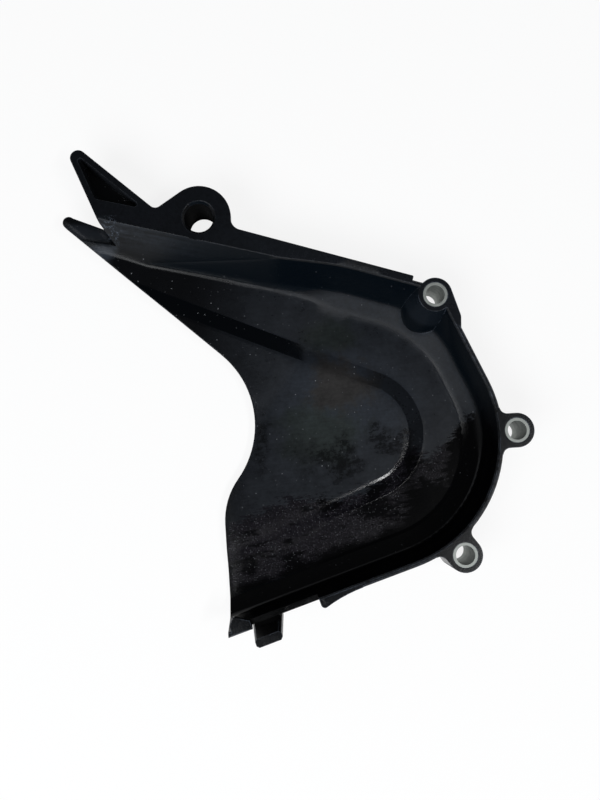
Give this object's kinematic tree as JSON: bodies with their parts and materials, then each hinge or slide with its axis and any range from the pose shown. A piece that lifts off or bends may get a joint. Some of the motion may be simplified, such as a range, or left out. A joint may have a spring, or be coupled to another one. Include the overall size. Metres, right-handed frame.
{
  "type": "sprocket cover",
  "caption": "Black moulded cover for a motorbike's front sprocket: a shallow open dish with a rising forked arm for the chain, a drilled top lug and steel bolt collars.",
  "frame": {"origin": "axis of the middle bolt on the engine-side face", "axes": "+Z towards the engine, along the bolts; +Y towards the top lug; -X along the arm to the fork; the outer face lies underneath"},
  "size_m": [0.1668, 0.171, 0.0264],
  "materials": {
    "black_plastic": "black moulded plastic, dusty and oily from use",
    "zinc_steel": "dull zinc-plated steel"
  },
  "bodies": {
    "root": {"sprocket_cover": "black_plastic", "upper_bolt_collar": "zinc_steel", "middle_bolt_collar": "zinc_steel", "lower_bolt_collar": "zinc_steel"}
  },
  "joints": []
}
